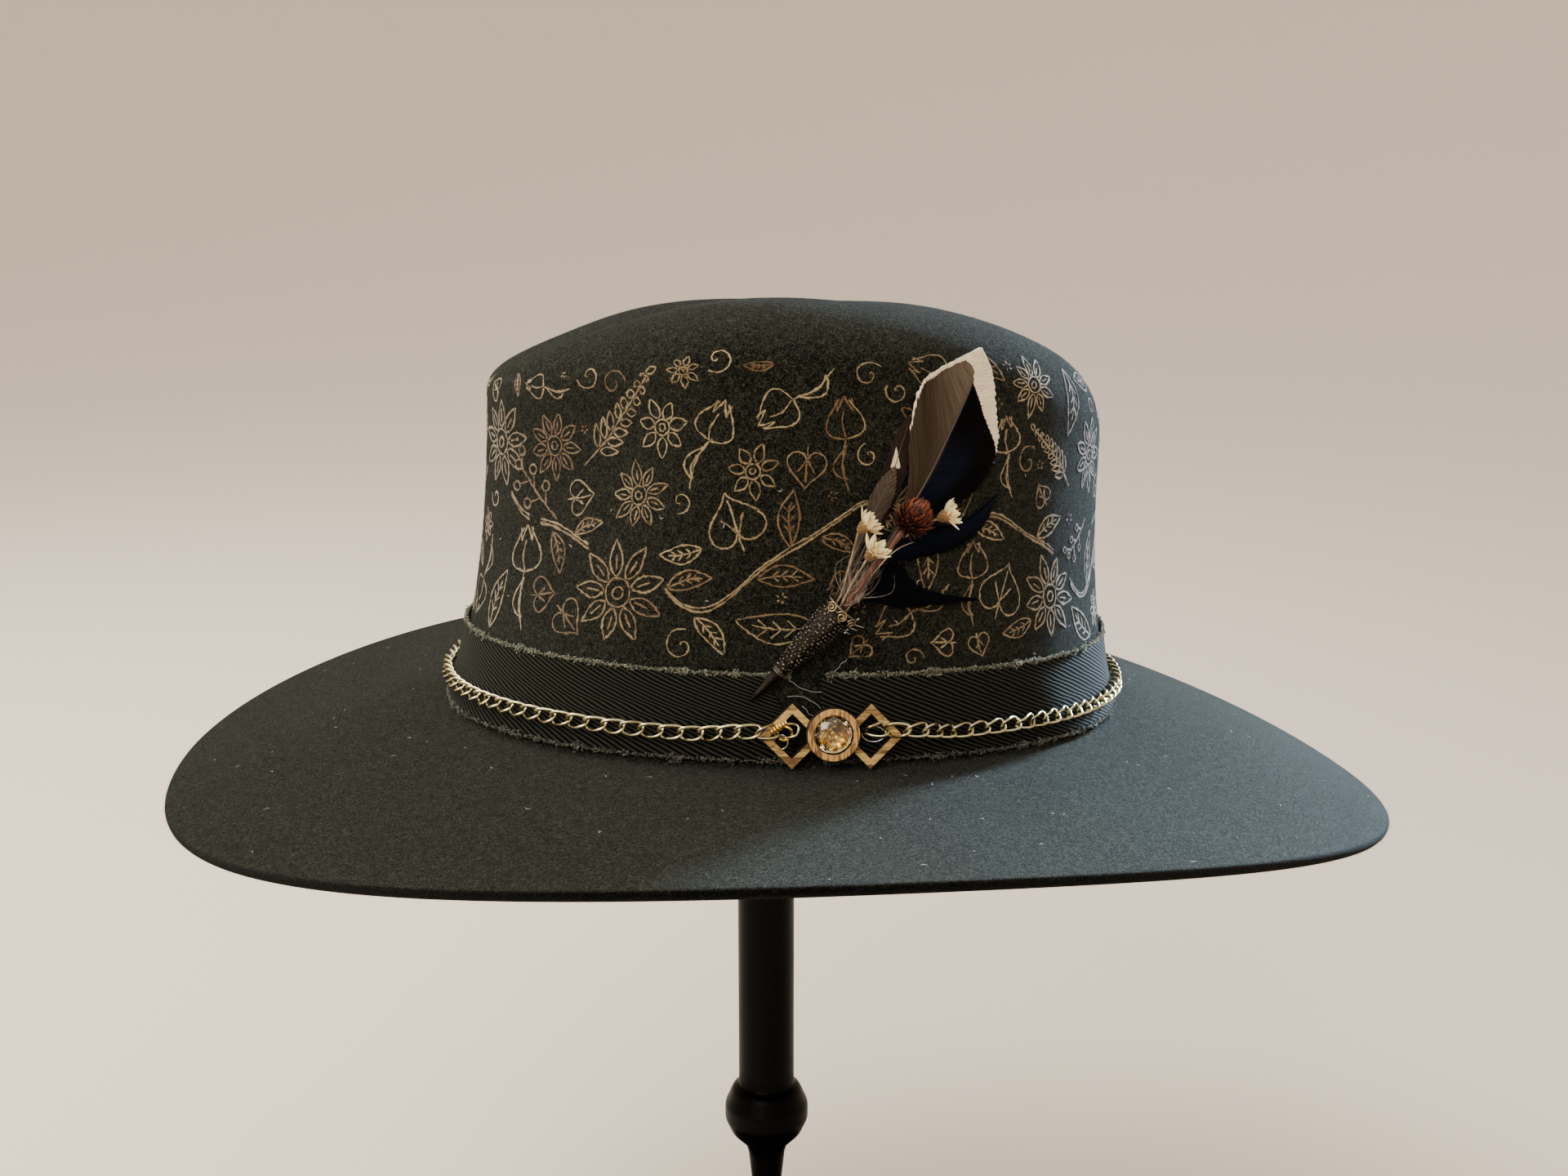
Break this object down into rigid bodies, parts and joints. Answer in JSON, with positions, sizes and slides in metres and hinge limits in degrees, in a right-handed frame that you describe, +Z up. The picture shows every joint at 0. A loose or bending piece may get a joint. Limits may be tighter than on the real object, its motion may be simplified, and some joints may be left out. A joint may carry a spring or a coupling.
{
  "type": "wool felt hat on a stand",
  "caption": "Wide brimmed wool felt hat with a pinched crown, frayed cloth band, curb chain, wooden ornament and feather pin, held up by a plain black post stand.",
  "frame": {"origin": "middle of the underside of the stand's foot plate", "axes": "+Z up, -X towards the hat's front, -Y towards its trimmed side"},
  "size_m": [0.3846, 0.3349, 0.3595],
  "materials": {
    "felt": "matt wool felt, olive black, with burnt tan line work",
    "band_cloth": "ribbed black brown cloth with frayed grey green edges",
    "gold_chain": "polished pale gold plate",
    "wood_tan": "bare laser cut wood, horizontal grain",
    "wood_walnut": "bare laser cut walnut, upright grain",
    "stone": "faceted champagne stone, foiled back",
    "bronze": "dark antique bronze, beaded relief",
    "feather_brown": "grey brown feather, cream margin",
    "feather_dark": "blue black feather with a soft sheen",
    "flower_red": "dried brown red bracts",
    "flower_cream": "dried cream petals with ochre cups",
    "stand_black": "satin black paint"
  },
  "bodies": {
    "root": {"felt_body": "felt", "hat_band": "band_cloth", "chain": "gold_chain", "wood_diamond_left": "wood_tan", "wood_diamond_right": "wood_tan", "wood_ring": "wood_walnut", "gem": "stone", "pin_cone": "bronze", "feather_main": "feather_brown", "feather_brown_long": "feather_brown", "feather_brown_short": "feather_brown", "feather_navy": "feather_dark", "feather_black": "feather_dark", "flower_globe": "flower_red", "flower_star_1": "flower_cream", "flower_star_2": "flower_cream", "flower_star_3": "flower_cream", "stand_base": "stand_black", "stand_post": "stand_black", "stand_cap": "stand_black"}
  },
  "joints": []
}
